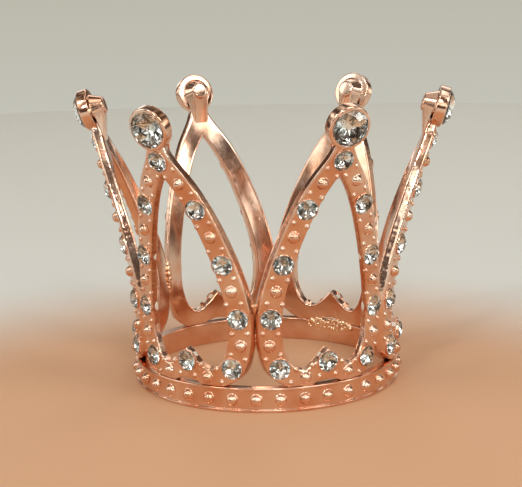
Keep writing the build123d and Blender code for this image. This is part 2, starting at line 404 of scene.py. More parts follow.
@dataclass(frozen=True)
class StudioFloor:
    """A plain pale floor, warm under the crown and neutral further out, with painted fill light that makes it
    paler far out where the lamps reach less.
    """

    name: str
    warm: Colour = (0.645, 0.375, 0.215)
    neutral: Colour = (0.74, 0.75, 0.71)
    # painted fill light: the paler colour far out, where the lamps' light falls off
    far: Colour = (0.79, 0.80, 0.745)
    warm_centre: tuple[float, float, float] = (0.0, -0.03, 0.0)
    warm_reach: float = 0.052
    neutral_reach: float = 0.115
    painted_fill_reach: float = 0.45

    def build(self, groups: dict[str, bpy.types.NodeTree]) -> bpy.types.Material:
        """Builds the material.

        Args:
            groups: The shared node groups, by name; not used.

        Returns:
            The new material.
        """
        material, tree, shader = new_material(self.name)
        place = add_node(tree, "TexCoord").outputs["Object"]
        reach = add_node(tree, "VectorMath", {0: place, 1: self.warm_centre}, operation="DISTANCE")
        share = add_node(
            tree,
            "MapRange",
            {"Value": reach.outputs["Value"], 1: self.warm_reach, 2: self.neutral_reach},
            interpolation_type="SMOOTHSTEP",
        )
        shade = add_node(
            tree,
            "Mix",
            {0: share.outputs[0], 6: opaque(self.warm), 7: opaque(self.neutral)},
            data_type="RGBA",
        )
        # painted fill light: the floor is mixed towards the paler colour with distance
        away = add_node(
            tree, "MapRange", {"Value": reach.outputs["Value"], 1: self.neutral_reach, 2: self.painted_fill_reach}
        )
        painted_fill = add_node(
            tree, "Mix", {0: away.outputs[0], 6: shade.outputs[2], 7: opaque(self.far)}, data_type="RGBA"
        )
        tree.links.new(painted_fill.outputs[2], shader.inputs["Base Color"])
        shader.inputs["Roughness"].default_value = 0.75
        return material


def new_material(name: str) -> tuple[bpy.types.Material, bpy.types.NodeTree, bpy.types.Node]:
    """Makes a material holding a Principled shader.

    Args:
        name: The material's name.

    Returns:
        The material, its node tree and its shader node.
    """
    material = bpy.data.materials.new(name)
    material.use_nodes = True
    return material, material.node_tree, material.node_tree.nodes["Principled BSDF"]


class Finish(Enum):
    """The finishes on the crown, and the floor's."""

    PETAL_METAL = RoseGold("petal_rose_gold")
    BAND_METAL = RoseGold("band_rose_gold", wave_height=0.00002)
    CUP_METAL = RoseGold("cup_rose_gold", polish=0.08, wave_height=0.00002, wave_scale=300.0)
    SOLDER_METAL = RoseGold(
        "solder_rose_gold",
        pale=(1.0, 0.80, 0.56),
        polish=0.16,
        haze=0.16,
        wave_scale=1200.0,
        wave_height=0.00006,
        grain_height=0.000004,
    )
    STONE_GLASS = CutGlass("stone_glass")
    STONE_FOIL = MirrorFoil("stone_foil")
    GLUE = SettingGlue("setting_glue")
    FLOOR = StudioFloor("pale_floor")


class Palette:
    """Builds each finish's material the first time it is asked for."""

    def __init__(self) -> None:
        """Builds the node groups that the metals share."""
        self.groups = {"casting": casting_group(), "plating": plating_group()}
        self.made: dict[Finish, bpy.types.Material] = {}

    def __getitem__(self, finish: Finish) -> bpy.types.Material:
        """Returns the finish's material."""
        if finish not in self.made:
            self.made[finish] = finish.value.build(self.groups)
        return self.made[finish]


# ---------------------------------------------------------------- curves and meshes


class ClampedSpline:
    """A smooth plane curve through points, with a set heading at each end."""

    def __init__(
        self, points: list[tuple[float, float]], start: tuple[float, float], end: tuple[float, float]
    ) -> None:
        """Solves the curve.

        Args:
            points: The points it goes through.
            start: Its heading at the first point.
            end: Its heading at the last point.
        """
        self.points = np.array(points, float)
        steps = np.linalg.norm(np.diff(self.points, axis=0), axis=1)
        self.marks = np.concatenate(([0.0], np.cumsum(steps)))
        count = len(self.points)
        matrix, wanted = np.zeros((count, count)), np.zeros((count, 2))
        matrix[0, 0] = matrix[-1, -1] = 1.0
        wanted[0] = np.array(start) / np.linalg.norm(start)
        wanted[-1] = np.array(end) / np.linalg.norm(end)
        for i in range(1, count - 1):
            before, after = 1 / steps[i - 1], 1 / steps[i]
            matrix[i, i - 1 : i + 2] = before, 2 * (before + after), after
            back, ahead = self.points[i] - self.points[i - 1], self.points[i + 1] - self.points[i]
            wanted[i] = 3 * (back * before**2 + ahead * after**2)
        self.slopes = np.linalg.solve(matrix, wanted)
        self.length = self.marks[-1]

    def _terms(self, where: np.ndarray) -> tuple[np.ndarray, ...]:
        """Returns the piece, its length and the share along it at each distance."""
        piece = np.clip(np.searchsorted(self.marks, where, side="right") - 1, 0, len(self.points) - 2)
        span = self.marks[piece + 1] - self.marks[piece]
        return piece, span[:, None], ((where - self.marks[piece]) / span)[:, None]

    def at(self, shares: np.ndarray) -> np.ndarray:
        """Returns the points at shares from 0 to 1 of the curve."""
        piece, span, s = self._terms(np.atleast_1d(shares) * self.length)
        a, b = self.points[piece], self.points[piece + 1]
        da, db = self.slopes[piece] * span, self.slopes[piece + 1] * span
        return (
            (2 * s**3 - 3 * s**2 + 1) * a
            + (s**3 - 2 * s**2 + s) * da
            + (3 * s**2 - 2 * s**3) * b
            + (s**3 - s**2) * db
        )

    def heading(self, shares: np.ndarray) -> np.ndarray:
        """Returns the unit headings at shares from 0 to 1 of the curve."""
        piece, span, s = self._terms(np.atleast_1d(shares) * self.length)
        a, b = self.points[piece], self.points[piece + 1]
        da, db = self.slopes[piece] * span, self.slopes[piece + 1] * span
        slope = (6 * s**2 - 6 * s) * (a - b) + (3 * s**2 - 4 * s + 1) * da + (3 * s**2 - 2 * s) * db
        return slope / np.linalg.norm(slope, axis=1)[:, None]


@dataclass
class Rail:
    """One edge of a petal as stations, each with the mitred direction that goes into the metal."""

    points: np.ndarray
    inward: np.ndarray

    @classmethod
    def join(cls, sections: list[tuple[np.ndarray, np.ndarray]]) -> "Rail":
        """Joins sections end to end and mitres the directions where they meet.

        Args:
            sections: Each section's points and inward directions, sharing their end points.

        Returns:
            The joined rail.
        """
        points, inward = sections[0][0].copy(), sections[0][1].copy()
        for more, turned in sections[1:]:
            one, two = inward[-1], turned[0]
            inward[-1] = (one + two) / (1 + float(one @ two))
            points = np.vstack((points, more[1:]))
            inward = np.vstack((inward, turned[1:]))
        return cls(points, inward)

    def inset(self, distance: np.ndarray | float) -> np.ndarray:
        """Returns the stations moved into the metal by a distance, or by one distance each."""
        return self.points + np.reshape(distance, (-1, 1)) * self.inward


def turned(headings: np.ndarray, side: int) -> np.ndarray:
    """Returns unit headings turned a quarter: to the left for side 1, to the right for side -1."""
    return np.stack((-headings[:, 1], headings[:, 0]), axis=1) * side


class MeshMaker:
    """Collects faces in millimetres and turns them into one piece in metres."""

    def __init__(self) -> None:
        """Starts with nothing in it."""
        self.form = bmesh.new()

    def vertices(self, points: np.ndarray) -> list[bmesh.types.BMVert]:
        """Adds points and returns their vertices."""
        return [self.form.verts.new(Vector(p) * MM) for p in np.asarray(points, float).reshape(-1, 3)]

    def grid(
        self, points: np.ndarray, wrap_rows: bool = False, wrap_columns: bool = False
    ) -> list[list[bmesh.types.BMVert]]:
        """Adds a sheet of quads.

        Args:
            points: An array of rows by columns by three.
            wrap_rows: Whether the last row joins the first.
            wrap_columns: Whether the last column joins the first.

        Returns:
            The vertices in rows.
        """
        rows, columns = points.shape[:2]
        flat = self.vertices(points)
        table = [flat[r * columns : (r + 1) * columns] for r in range(rows)]
        for r in range(rows if wrap_rows else rows - 1):
            for c in range(columns if wrap_columns else columns - 1):
                r2, c2 = (r + 1) % rows, (c + 1) % columns
                self.form.faces.new((table[r][c], table[r][c2], table[r2][c2], table[r2][c]))
        return table

    def lathe(self, profile: list[tuple[float, float]], place: Matrix, segments: int) -> None:
        """Adds a closed turned form.

        Args:
            profile: (radius, height) pairs from the axis at the bottom to the axis at the top.
            place: Where the form's own frame goes, in millimetres.
            segments: How many steps it takes round.
        """
        angles = np.arange(segments) * 2 * math.pi / segments
        rows = []
        for radius, height in profile[1:-1]:
            ring = [place @ Vector((radius * math.cos(a), radius * math.sin(a), height)) for a in angles]
            rows.append(ring)
        table = self.grid(np.array(rows), wrap_columns=True)
        for ring, (_, height), flip in ((table[0], profile[0], True), (table[-1], profile[-1], False)):
            middle = self.form.verts.new(place @ Vector((0, 0, height)) * MM)
            for i in range(segments):
                pair = (ring[i], ring[(i + 1) % segments])
                self.form.faces.new((*(reversed(pair) if flip else pair), middle))

    def mesh(self, name: str, weld: float = 0.0002) -> bpy.types.Mesh:
        """Welds what was added and hands it over.

        Args:
            name: The mesh's name.
            weld: Vertices nearer than this many millimetres become one.

        Returns:
            The new mesh.
        """
        bmesh.ops.remove_doubles(self.form, verts=self.form.verts, dist=weld * MM)
        bmesh.ops.dissolve_degenerate(self.form, dist=weld * MM, edges=self.form.edges)
        bmesh.ops.recalc_face_normals(self.form, faces=self.form.faces)
        made = bpy.data.meshes.new(name)
        self.form.to_mesh(made)
        self.form.free()
        return made


class Fusing(Enum):
    """How one closed mesh changes another."""

    ADD = "UNION"
    CUT = "DIFFERENCE"


def fuse(base: bpy.types.Mesh, tool: bpy.types.Mesh, how: Fusing) -> bpy.types.Mesh:
    """Adds one closed mesh to another or cuts it away.

    Args:
        base: The mesh that is changed.
        tool: The mesh that is added or cut away.
        how: Which of the two.

    Returns:
        The result as a new mesh.
    """
    first, second = (bpy.data.objects.new(part.name, part) for part in (base, tool))
    for part in (first, second):
        bpy.context.scene.collection.objects.link(part)
    modifier = first.modifiers.new("fuse", "BOOLEAN")
    modifier.operation, modifier.object, modifier.solver = how.value, second, "MANIFOLD"
    graph = bpy.context.evaluated_depsgraph_get()
    made = bpy.data.meshes.new_from_object(first.evaluated_get(graph), depsgraph=graph)
    for part in (first, second):
        bpy.data.objects.remove(part)
    made.name = base.name
    made.materials.clear()
    return made


def smooth(mesh: bpy.types.Mesh, crease: float = 38.0) -> bpy.types.Mesh:
    """Shades a mesh smooth except across creases sharper than an angle in degrees."""
    mesh.polygons.foreach_set("use_smooth", [True] * len(mesh.polygons))
    mesh.set_sharp_from_angle(angle=math.radians(crease))
    return mesh


def rounded(
    corners: list[tuple[float, float]], radii: list[float], steps: int = 5
) -> list[tuple[float, float]]:
    """Rounds the corners of an open profile.

    Args:
        corners: The profile's corners, with its two ends.
        radii: The rounding at each corner, 0 for none; the ends' are not used.
        steps: How many points a rounding gets.

    Returns:
        The rounded profile.
    """
    made = [corners[0]]
    for i in range(1, len(corners) - 1):
        here = np.array(corners[i])
        before, after = np.array(corners[i - 1]) - here, np.array(corners[i + 1]) - here
        one, two = before / np.linalg.norm(before), after / np.linalg.norm(after)
        half = math.acos(max(-1.0, min(1.0, float(one @ two)))) / 2
        if radii[i] <= 0 or half > math.radians(88):
            made.append(tuple(here))
            continue
        back = radii[i] / math.tan(half)
        start, end = here + one * back, here + two * back
        centre = here + (one + two) / np.linalg.norm(one + two) * radii[i] / math.sin(half)
        for share in np.linspace(0, 1, steps):
            spoke = (start - centre) * (1 - share) + (end - centre) * share
            made.append(tuple(centre + spoke / np.linalg.norm(spoke) * radii[i]))
    made.append(corners[-1])
    return made


def bead_profile(diameter: float, sink: float, skirt: float, rings: int) -> list[tuple[float, float]]:
    """The section of a cast bead that stands on a face.

    Args:
        diameter: The bead's diameter.
        sink: How far its middle lies under the face.
        skirt: How far the metal spreads round its foot.
        rings: How many steps the dome takes.

    Returns:
        (radius, height) pairs from the axis under the face to the dome's top.
    """
    radius = diameter / 2
    foot = radius + skirt
    low, start = -0.3, skirt
    profile = [(0.0, low), (foot, low), (foot, 0.01), (radius + 0.45 * skirt, 0.28 * skirt)]
    first = math.asin(min(0.9, (start + sink) / radius))
    for angle in np.linspace(first, math.pi / 2, rings):
        profile.append((radius * math.cos(angle), radius * math.sin(angle) - sink))
    profile[-1] = (0.0, radius - sink)
    return profile


# ---------------------------------------------------------------- cut stones


@dataclass(frozen=True)
class CutStone:
    """A foil-backed round stone with a faceted crown, a thin girdle and a faceted pavilion."""

    diameter: float
    table: float
    crown: float
    girdle: float
    girdle_lift: float
    pavilion: float
    culet: float
    sides: int = 8
    foil_rise: float = 0.12  # the facets' middles bulge, so the foil's point is this share short
    table_drop: float = 0.08  # and the table this share low

    def _tier(
        self, inner: float, outer: float, inner_height: float, outer_height: float, share: float
    ) -> tuple[float, float]:
        """Works out the ring of points between two rings that keeps the main facets flat.

        Args:
            inner: The inner ring's radius.
            outer: The outer ring's radius.
            inner_height: The inner ring's height.
            outer_height: The outer ring's height.
            share: How far out the ring between them lies, from 0 to 1.

        Returns:
            The ring's radius and height.
        """
        half = math.cos(math.pi / self.sides)
        radius = inner + (outer - inner) * share
        level = (radius * half - inner) / (outer - inner)
        return radius, inner_height + (outer_height - inner_height) * level

    def add_to(self, maker: MeshMaker, place: Matrix) -> None:
        """Adds the stone's facets, its pavilion in the second material.

        Args:
            maker: What collects the faces.
            place: Where the stone's own frame goes, in millimetres.
        """
        n, rim = self.sides, self.diameter / 2
        top = self.girdle_lift + self.girdle
        table_height = top + self.crown * (1 - self.table_drop)
        point = -self.pavilion * (1 - self.foil_rise)
        crown_mid = self._tier(self.table / 2, rim, table_height, top, 0.55)
        keel_mid = self._tier(self.culet / 2, rim, point, self.girdle_lift, 0.45)

        def ring(radius: float, height: float, count: int, offset: float) -> list[bmesh.types.BMVert]:
            turns = [(i + offset) * 2 * math.pi / count for i in range(count)]
            spots = [place @ Vector((radius * math.cos(a), radius * math.sin(a), height)) for a in turns]
            return maker.vertices(np.array(spots))

        table = ring(self.table / 2, table_height, n, 0.0)
        upper = ring(*crown_mid, n, 0.5)
        girdle_top, girdle_low = ring(rim, top, 2 * n, 0.0), ring(rim, self.girdle_lift, 2 * n, 0.0)
        lower = ring(*keel_mid, n, 0.5)
        culet = ring(self.culet / 2, point, n, 0.0)
        for tiers, edge, flat, foil in ((upper, girdle_top, table, 0), (lower, girdle_low, culet, 1)):
            faces = [maker.form.faces.new(flat)]
            for i in range(n):
                after, mid, left = (i + 1) % n, tiers[i], tiers[i - 1]
                faces.append(maker.form.faces.new((flat[i], flat[after], mid)))
                faces.append(maker.form.faces.new((flat[i], mid, edge[2 * i], left)))
                faces.append(maker.form.faces.new((mid, edge[2 * i + 1], edge[2 * i])))
                faces.append(maker.form.faces.new((mid, edge[(2 * i + 2) % (2 * n)], edge[2 * i + 1])))
            for face in faces:
                face.material_index = foil
        for i in range(2 * n):
            after = (i + 1) % (2 * n)
            maker.form.faces.new((girdle_top[i], girdle_top[after], girdle_low[after], girdle_low[i]))


# ---------------------------------------------------------------- petals


@dataclass
class Petal:
    """An open teardrop cut from a flared wall, with rounded edges, beads and pits for its stones."""

    face_radius: float = 23.4
    bore_radius: float = 21.7
    flare_start: float = 6.0
    flare_radius: float = 113.0
    sector: float = 29.9  # half of its share of the ring, in degrees
    band_top: float = 4.2
    tip_height: float = 47.4
    widest: float = 9.5  # the strip's centre line at its widest
    strip_half: float = 1.8
    neck_half: float = 1.55
    neck_top: float = 45.4
    arm_shares: tuple[tuple[float, float], ...] = (
        (0.33, 0.79),
        (0.535, 0.697),
        (0.845, 0.484),
        (1.0, 0.271),
        (0.965, 0.157),
    )
    crest_height: float = 42.05
    corner_share: float = 0.855
    corner_rise: float = 3.2
    lobe_out: tuple[float, float] = (0.769, -0.639)
    foot_land: float = 6.6
    slot_half: float = 2.7
    slot_rise: float = 0.75
    cusp_rise: float = 6.1
    hollow: tuple[float, float] = (4.4, 2.9)  # across, and above the band
    dip_rise: float = 1.45
    edge: float = 0.34  # the rounding of its edges
    bead_diameter: float = 1.95
    seed_diameter: float = 0.85
    bead_sink: float = 0.1
    seed_shares: tuple[float, float] = (0.27, 0.73)
    seed_insets: tuple[float, float] = (0.8, 0.5)  # from the outer and the inner edge
    pit_diameter: float = 3.3
    pit_depth: float = 1.3
    collar: tuple[float, float, float] = (1.71, 1.87, 0.16)  # a lip round each stone: its radii and height
    edge_grain: float = 0.028  # how far the side walls' casting grain stands
    wave: float = 0.012  # how far its faces wander
    arm_stations: int = 150
    outer_stations: tuple[int, ...] = (21, 15, 16, 12)
    inner_stations: tuple[int, ...] = (32, 32)
    neck_stations: int = 22
    face_columns: int = 13
    wall_rows: int = 4
    edge_rows: int = 4

    def __post_init__(self) -> None:
        """Works out the strip's centre line and where the stones and beads sit."""
        rise = self.tip_height - self.band_top
        spots = [(self.widest * x, self.band_top + rise * y) for x, y in self.arm_shares]
        neck = (self.neck_half - self.strip_half, self.neck_top)
        self.arm = ClampedSpline([neck, *spots], (0, -1), (-0.2, -1))
        self.crest = (0.0, self.crest_height)
        self.corner = (self.widest * self.corner_share, self.band_top + self.corner_rise)
        self.foot_middle = (0.0, self.band_top + (self.cusp_rise + self.slot_rise) / 2 + 0.4)
        self.stops = [self.crest, *spots[1:4], self.corner, self.foot_middle]
        dip = (self.hollow[0], self.band_top + self.dip_rise)
        self.trim = ClampedSpline(
            [self.crest, *spots[:4], self.corner, dip, self.foot_middle], (0.8, -0.6), (-0.8, 0.6)
        )

    @property
    def thickness(self) -> float:
        """The metal's thickness."""
        return self.face_radius - self.bore_radius

    def radius(self, height: np.ndarray | float, depth: np.ndarray | float = 0.0) -> np.ndarray:
        """Returns the wall's radius at a height and a depth into the metal."""
        rise = np.maximum(0.0, np.asarray(height) - self.flare_start)
        return self.face_radius + self.flare_radius - np.sqrt((self.flare_radius + depth) ** 2 - rise**2)

    def on_wall(self, across: np.ndarray, height: np.ndarray, depth: np.ndarray) -> np.ndarray:
        """Carries flat petal coordinates onto the flared wall, within the petal's own sector."""
        radius = self.radius(height, depth)
        limit = radius * math.sin(math.radians(self.sector))
        y = np.clip(across, -limit, limit)
        return np.stack((np.sqrt(radius**2 - y**2), y, np.broadcast_to(height, y.shape)), axis=-1)

    def seat(self, across: float, height: float, lift: float = 0.0) -> Matrix:
        """Returns the frame on the petal's face whose Z points straight out of the metal."""
        radius = float(self.radius(height))
        turn = math.asin(across / radius)
        tilt = math.asin(max(0.0, height - self.flare_start) / self.flare_radius)
        spin = Matrix.Rotation(turn, 4, "Z")
        outward = Vector((math.cos(tilt), 0, -math.sin(tilt)))
        axes = Matrix((Vector((0, 1, 0)), outward.cross(Vector((0, 1, 0))), outward)).transposed().to_4x4()
        return spin @ Matrix.Translation(Vector((radius, 0, height)) + outward * lift) @ axes

    def stone_seats(self) -> list[tuple[float, float]]:
        """Returns the ten stones' places on the face."""
        paired = [(side * x, y) for side in (1, -1) for x, y in self.stops[1:-1]]
        return [self.crest, self.foot_middle, *paired]

    def bead_places(self) -> tuple[list[tuple[float, float]], list[tuple[float, float]]]:
        """Works out where the beads and the small paired beads stand.

        Returns:
            The beads' places and the small beads' places.
        """
        marks = [self.trim.marks[i] / self.trim.length for i in (0, 2, 3, 4, 5, 7)]
        beads, seeds = [], []
        for start, end in zip(marks, marks[1:]):
            spot = self.trim.at(np.array([(start + end) / 2]))[0]
            beads += [(side * spot[0], spot[1]) for side in (1, -1)]
            for share in self.seed_shares:
                where = np.array([start + share * (end - start)])
                spot, left = self.trim.at(where)[0], turned(self.trim.heading(where), 1)[0]
                outer, inner = self.seed_insets
                for offset in (self.strip_half - outer, inner - self.strip_half):
                    x, y = spot + left * offset
                    seeds += [(side * x, y) for side in (1, -1)]
        return beads, seeds

    def outer_rail(self, start: float) -> Rail:
        """Builds the outer edge of one side below the opening's point.

        Args:
            start: The share of the arm where it begins.

        Returns:
            The rail, down to the middle of the slot under the foot.
        """
        shares = np.linspace(start, 1, self.arm_stations + 1)
        heading = self.arm.heading(shares)
        arm = (self.arm.at(shares) + turned(heading, 1) * self.strip_half, turned(heading, -1))
        lobe = np.array(self.corner) + np.array(self.lobe_out) * self.strip_half
        around = (self.lobe_out[1], -self.lobe_out[0])
        land, slot = (self.foot_land, self.band_top), (self.slot_half, self.band_top)
        side = ClampedSpline([arm[0][-1], lobe], heading[-1], around)
        under = ClampedSpline([lobe, land], around, (-0.95, -0.3))
        sections = [arm]
        for curve, count in zip((side, under), self.outer_stations):
            s = np.linspace(0, 1, count + 1)
            sections.append((curve.at(s), turned(curve.heading(s), -1)))
        s = np.linspace(0, 1, self.outer_stations[2] + 1)[:, None]
        sections.append((np.array(land) * (1 - s) + np.array(slot) * s, np.tile((0.0, 1.0), (len(s), 1))))
        bow = (self.slot_half**2 + self.slot_rise**2) / (2 * self.slot_rise)
        centre = np.array((0, self.band_top + self.slot_rise - bow))
        angles = np.linspace(math.asin(self.slot_half / bow), 0, self.outer_stations[3] + 1)
        spokes = np.stack((np.sin(angles), np.cos(angles)), axis=1)
        sections.append((centre + spokes * bow, spokes))
        rail = Rail.join(sections)
        rail.inward[-1] = (0, 1)
        return rail

    def crossing(self, inset: float) -> float:
        """Returns the share of the arm where its inner edge, moved in by a distance, meets the middle."""
        shares = np.linspace(0, 0.5, 4001)
        edge = self.arm.at(shares) - turned(self.arm.heading(shares), 1) * (self.strip_half - inset)
        return float(np.interp(0.0, edge[:, 0], shares))

    def inner_rail(self, inset: float) -> Rail:
        """Builds the opening's edge on one side, from its point down to the cusp.

        Args:
            inset: How far into the metal the rail will be moved, which sets where it starts.

        Returns:
            The rail, not yet moved in.
        """
        shares = np.linspace(self.crossing(inset), 1, self.arm_stations + 1)
        heading = self.arm.heading(shares)
        arm = (self.arm.at(shares) - turned(heading, 1) * self.strip_half, turned(heading, 1))
        hollow = (self.hollow[0], self.band_top + self.hollow[1])
        cusp = (0.0, self.band_top + self.cusp_rise)
        sections = [arm]
        for curve, count in zip(
            (
                ClampedSpline([arm[0][-1], hollow], heading[-1], (-1, 0)),
                ClampedSpline([hollow, cusp], (-1, 0), (-0.75, 0.65)),
            ),
            self.inner_stations,
        ):
            s = np.linspace(0, 1, count + 1)
            sections.append((curve.at(s), turned(curve.heading(s), 1)))
        rail = Rail.join(sections)
        rail.inward[-1] = (0, -1 / math.sin(math.atan2(0.75, 0.65)))
        return rail

    def profile(self) -> list[tuple[float, float, float]]:
        """Builds the strip's section as a closed loop.

        Returns:
            For each point its share from the outer to the inner edge, its inset and its depth.
        """
        r, t = self.edge, self.thickness
        arc = np.linspace(0, math.pi / 2, self.edge_rows + 1)
        turn = [(r * (1 - math.sin(a)), r * (1 - math.cos(a))) for a in arc]
        wall = [(0.0, d) for d in np.linspace(r, t - r, self.wall_rows + 1)[1:-1]]
        down = [*turn, *wall, *[(e, t - d) for e, d in reversed(turn)]]
        shares = np.linspace(0, 1, self.face_columns + 1)[1:-1]
        front = [(w, r, 0.0) for w in shares]
        back = [(w, r, t) for w in reversed(shares)]
        return [*front, *[(1.0, e, d) for e, d in down], *back, *[(0.0, e, d) for e, d in reversed(down)]]

    def casting_wander(self, across: np.ndarray, height: np.ndarray, depth: float) -> np.ndarray:
        """Returns how far the metal's faces wander from true at each place."""
        spots = zip(np.abs(across).ravel(), height.ravel())
        drift = [noise.noise(Vector((u * 0.33, v * 0.22, depth))) for u, v in spots]
        return self.wave * np.array(drift).reshape(across.shape)

    def wall_grain(self, rail: np.ndarray, inset: float, depth: float, side: float) -> np.ndarray:
        """Returns the side walls' casting grain at each station of a rail."""
        share = 1 - inset / self.edge
        grain = [noise.noise(Vector((u * 2.6, v * 2.6, depth * 1.3 + 7 * side))) for u, v in rail]
        return self.edge_grain * share * (np.array(grain) + 0.35)

    def body(self) -> bpy.types.Mesh:
        """Builds the plain petal: a strip round the opening, and the neck above it.

        Returns:
            The petal's mesh, closed, without beads or pits.
        """
        maker = MeshMaker()
        outer = self.outer_rail(self.crossing(0.0))
        sheets, neck_sheets = [], []
        top = self.outer_neck()
        crest_heights = self.inner_rail(self.edge)
        point_height = crest_heights.inset(self.edge)[0, 1]
        down = np.linspace(self.neck_top, point_height, len(top.points))
        middle = np.stack((np.zeros(len(down)), down), axis=1)
        for share, inset, depth in self.profile():
            grain_out = self.wall_grain(outer.points, inset, depth, 0.0) if share < 1 else 0.0
            flat = outer.inset(inset + grain_out) * (1 - share)
            if share > 0:
                inner = self.inner_rail(inset)
                grain_in = self.wall_grain(inner.points, inset, depth, 1.0)
                edge = inner.inset(inset + grain_in)
                edge[0] = (0.0, inner.inset(inset)[0, 1])
                flat = flat + edge * share
            sheets.append(self.lifted(flat, depth))
            if share < 1:
                grain_top = self.wall_grain(top.points, inset, depth, 0.0)
                neck = top.inset(inset + grain_top) * (1 - share) + middle * share
                neck_sheets.append(self.lifted(neck, depth))
        front_end = self.face_columns - 1
        neck_sheets.insert(front_end, self.lifted(middle, 0.0))
        neck_sheets.insert(front_end + 1, self.lifted(middle, self.thickness))
        loop = neck_sheets[front_end + 1 :] + neck_sheets[: front_end + 1]
        for side in (1, -1):
            flip = np.array((1, side, 1))
            maker.grid(np.array(sheets) * flip, wrap_rows=True)
            table = maker.grid(np.array(loop) * flip)
            maker.form.faces.new([row[0] for row in table])
        return maker.mesh("petal")

    def outer_neck(self) -> Rail:
        """Builds the outer edge of one side of the neck, down to the opening's point."""
        shares = np.linspace(0, self.crossing(0.0), self.neck_stations + 1)
        heading = self.arm.heading(shares)
        return Rail(self.arm.at(shares) + turned(heading, 1) * self.strip_half, turned(heading, -1))

    def lifted(self, flat: np.ndarray, depth: float) -> np.ndarray:
        """Carries a row of flat points to its place on the wall, with the casting's wander."""
        wander = self.casting_wander(flat[:, 0], flat[:, 1], depth)
        return self.on_wall(flat[:, 0], flat[:, 1], depth + wander)

    def beads(self) -> bpy.types.Mesh:
        """Builds all the petal's beads as one mesh of closed domes."""
        maker = MeshMaker()
        beads, seeds = self.bead_places()
        for places, diameter, skirt, segments, rings in (
            (beads, self.bead_diameter, 0.14, 26, 9),
            (seeds, self.seed_diameter, 0.07, 16, 6),
        ):
            profile = bead_profile(diameter, self.bead_sink, skirt, rings)
            for across, height in places:
                maker.lathe(profile, self.seat(across, height), segments)
        return maker.mesh("petal_beads")

    def collars(self) -> bpy.types.Mesh:
        """Builds the thin lips that stand round the small stones."""
        maker = MeshMaker()
        inner, outer, lip = self.collar
        corners = [(0, -0.3), (outer, -0.3), (outer, lip), (inner, lip), (inner, -0.1), (0, -0.1)]
        section = rounded(corners, [0, 0, 0.07, 0.05, 0, 0], 4)
        for across, height in self.stone_seats():
            maker.lathe(section, self.seat(across, height), 48)
        return maker.mesh("petal_collars")

    def pits(self) -> bpy.types.Mesh:
        """Builds the cutters for the small stones' pits."""
        maker = MeshMaker()
        radius = self.pit_diameter / 2
        profile = [(0, -self.pit_depth), (radius, -self.pit_depth), (radius, 1.0), (0, 1.0)]
        for across, height in self.stone_seats():
            maker.lathe(profile, self.seat(across, height), 40)
        return maker.mesh("petal_pits")

    def build(self, cup: bpy.types.Mesh) -> bpy.types.Mesh:
        """Builds the finished petal on +X.

        Args:
            cup: The closed tip setting that is let into the neck.

        Returns:
            The petal's mesh.
        """
        metal = fuse(self.body(), self.beads(), Fusing.ADD)
        metal = fuse(metal, self.collars(), Fusing.ADD)
        metal = fuse(metal, self.pits(), Fusing.CUT)
        return smooth(fuse(metal, cup, Fusing.CUT))


# ---------------------------------------------------------------- tip settings


